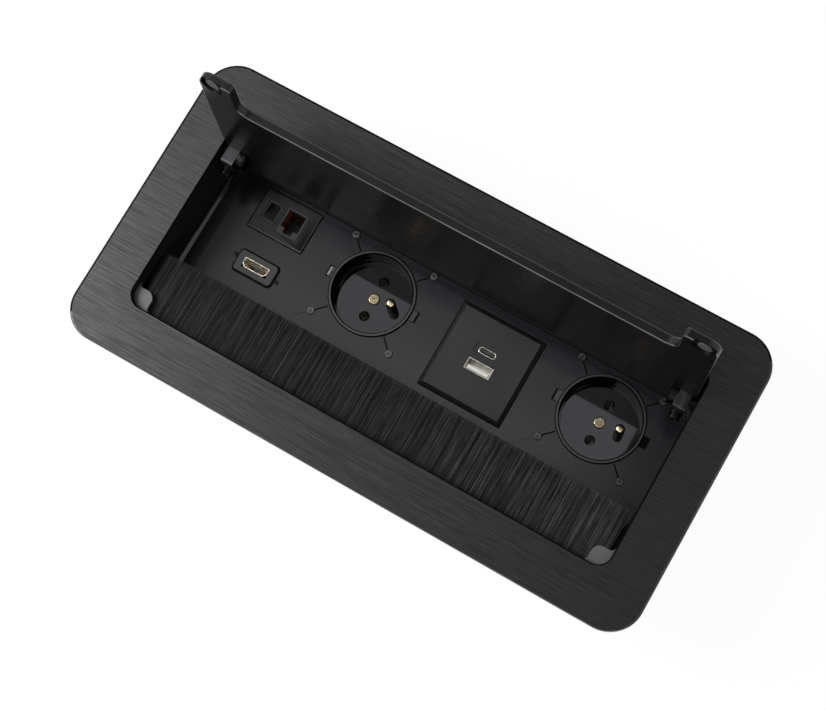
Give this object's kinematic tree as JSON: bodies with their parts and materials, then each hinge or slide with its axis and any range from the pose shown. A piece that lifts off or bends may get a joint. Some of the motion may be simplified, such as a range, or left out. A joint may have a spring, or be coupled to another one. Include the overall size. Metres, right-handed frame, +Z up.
{
  "type": "desk socket block",
  "caption": "Desk power and data box with brushed bezel, flip-up lid, brush, round mains sockets, charger ports, network jack and video port",
  "frame": {"origin": "centre of the bezel's underside, where it seats on the desk", "axes": "+X along the bezel, +Y towards the hinge at the back, +Z up out of the desk"},
  "size_m": [0.293, 0.148, 0.1503],
  "materials": {
    "brushed_plate": "brushed dark grey anodised",
    "tub_plastic": "gloss black",
    "cover_plastic": "matt black",
    "satin_plate": "satin dark grey",
    "bristle": "black nylon bristle",
    "pad_steel": "dull steel",
    "hinge_alloy": "satin alloy",
    "screw_steel": "bright steel",
    "tab_plastic": "pale grey",
    "clamp_steel": "zinc plated",
    "socket_plastic": "gloss dark grey",
    "contact_brass": "plain brass",
    "earth_brass": "nickel washed brass",
    "small_screw": "dark zinc",
    "module_plastic": "fine texture, dark grey",
    "board_green": "circuit board",
    "port_steel": "bright plated steel",
    "tongue_pale": "pale grey",
    "tongue_dark": "black",
    "jack_plastic": "black",
    "contact_gold": "gold plated",
    "gland_rubber": "black rubber"
  },
  "bodies": {
    "base": {"bezel_frame": "brushed_plate", "housing": "tub_plastic", "faceplate": "satin_plate", "base_cover": "cover_plastic", "bristles": "bristle", "brush_carrier": "cover_plastic", "corner_tab_right": "tab_plastic", "corner_tab_left": "tab_plastic", "clamp_right": "clamp_steel", "clamp_left": "clamp_steel", "clamp_screw_right": "cover_plastic", "clamp_screw_left": "cover_plastic", "socket_1_cup": "socket_plastic", "socket_1_carrier": "socket_plastic", "socket_1_live_sleeve": "contact_brass", "socket_1_neutral_sleeve": "contact_brass", "socket_1_earth_pin": "earth_brass", "socket_1_centre_screw": "earth_brass", "socket_1_screws": "small_screw", "socket_2_cup": "socket_plastic", "socket_2_carrier": "socket_plastic", "socket_2_live_sleeve": "contact_brass", "socket_2_neutral_sleeve": "contact_brass", "socket_2_earth_pin": "earth_brass", "socket_2_centre_screw": "earth_brass", "socket_2_screws": "small_screw", "live_bus": "contact_brass", "neutral_bus": "contact_brass", "earth_bus": "contact_brass", "terminal_block": "tab_plastic", "charger_face": "module_plastic", "charger_body": "cover_plastic", "charger_board": "board_green", "type_a_shell": "port_steel", "type_a_tongue": "tongue_pale", "type_c_shell": "port_steel", "type_c_tongue": "tongue_dark", "network_plate": "module_plastic", "network_jack": "jack_plastic", "jack_contacts": "contact_gold", "blank_insert": "module_plastic", "video_block": "module_plastic", "video_shell": "port_steel", "video_tongue": "tongue_dark", "video_screws": "screw_steel", "cover_screws": "small_screw", "faceplate_screws": "small_screw", "bezel_screws": "small_screw", "cable_gland": "gland_rubber"},
    "flap": {"lid": "brushed_plate", "hinge_block_right": "hinge_alloy", "hinge_block_left": "hinge_alloy", "hinge_screw_right": "screw_steel", "hinge_screw_left": "screw_steel", "hinge_washer_right": "screw_steel", "hinge_washer_left": "screw_steel", "hinge_pin_right": "screw_steel", "hinge_pin_left": "screw_steel", "lid_pad_right": "pad_steel", "lid_pad_left": "pad_steel"}
  },
  "joints": [
    {"name": "lid_hinge", "type": "hinge", "parent": "base", "child": "flap", "pos_m": [0, 0.0347, -0.0034], "axis": [1, 0, 0], "range_deg": [0, 92]}
  ]
}
